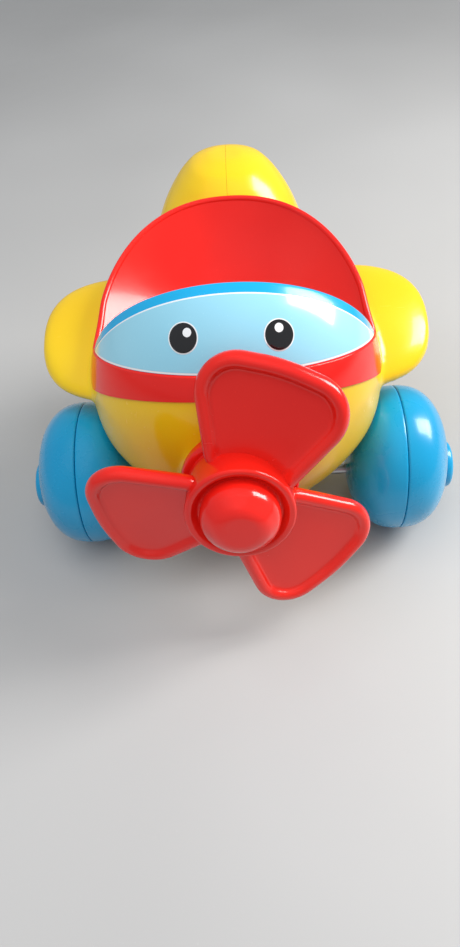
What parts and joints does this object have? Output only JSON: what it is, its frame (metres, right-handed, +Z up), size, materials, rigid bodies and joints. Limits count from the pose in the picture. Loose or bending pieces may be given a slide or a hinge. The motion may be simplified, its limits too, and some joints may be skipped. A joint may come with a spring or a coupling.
{
  "type": "toy airplane",
  "caption": "Chunky push-along toy airplane with an open seat tub, a face on its visor, a geared propeller in front, ball-shaped wheels and rounded paddle wings.",
  "frame": {"origin": "middle of the footprint on the floor", "axes": "+X to the right-hand wing, -Y towards the propeller, +Z up"},
  "size_m": [0.2, 0.1964, 0.1406],
  "materials": {
    "yellow_plastic": "glossy moulded yellow",
    "red_plastic": "glossy moulded red",
    "blue_plastic": "glossy moulded blue",
    "face_print": "printed gloss label",
    "gear_plastic": "natural white acetal",
    "steel": "drawn steel"
  },
  "bodies": {
    "airframe": {"body_left_half": "yellow_plastic", "body_right_half": "yellow_plastic", "body_screws": "steel", "cockpit_tub": "red_plastic", "visor": "blue_plastic", "face_label": "face_print", "gear_plate_left": "gear_plastic", "gear_plate_right": "gear_plastic", "gear_plate_screws": "steel", "nose_collar": "red_plastic"},
    "front_axle_set": {"front_axle": "steel", "axle_gear": "gear_plastic", "right_wheel_inner": "blue_plastic", "right_wheel_outer": "blue_plastic", "right_hub_cap": "blue_plastic", "left_wheel_inner": "blue_plastic", "left_wheel_outer": "blue_plastic", "left_hub_cap": "blue_plastic"},
    "idler_set": {"idler_gear": "gear_plastic", "idler_pin": "steel"},
    "cross_shaft_set": {"cross_shaft": "steel", "cross_gear": "gear_plastic", "crown_gear": "gear_plastic"},
    "propeller_set": {"propeller": "red_plastic", "spinner": "red_plastic", "propeller_shaft": "steel", "drive_pinion": "gear_plastic"},
    "rear_wheel_set": {"rear_wheel_left_half": "blue_plastic", "rear_wheel_right_half": "blue_plastic", "rear_axle": "steel"}
  },
  "joints": [
    {"name": "front_axle_spin", "type": "hinge", "parent": "airframe", "child": "front_axle_set", "pos_m": [0, -0.02227, 0.027], "axis": [1, 0, 0], "continuous": true},
    {"name": "idler_spin", "type": "hinge", "parent": "airframe", "child": "idler_set", "pos_m": [0, -0.02092, 0.04269], "axis": [1, 0, 0], "continuous": true},
    {"name": "cross_shaft_spin", "type": "hinge", "parent": "airframe", "child": "cross_shaft_set", "pos_m": [0, -0.01927, 0.06183], "axis": [1, 0, 0], "continuous": true},
    {"name": "propeller_spin", "type": "hinge", "parent": "airframe", "child": "propeller_set", "pos_m": [0, -0.07827, 0.076], "axis": [0, -0.9724, 0.2334], "continuous": true},
    {"name": "rear_wheel_spin", "type": "hinge", "parent": "airframe", "child": "rear_wheel_set", "pos_m": [0, 0.05773, 0.015], "axis": [1, 0, 0], "continuous": true}
  ],
  "couplings": [
    {"joint": "idler_spin", "follows": "front_axle_spin", "ratio": -1.25},
    {"joint": "cross_shaft_spin", "follows": "front_axle_spin", "ratio": 0.71429},
    {"joint": "propeller_spin", "follows": "front_axle_spin", "ratio": 1.4286}
  ]
}
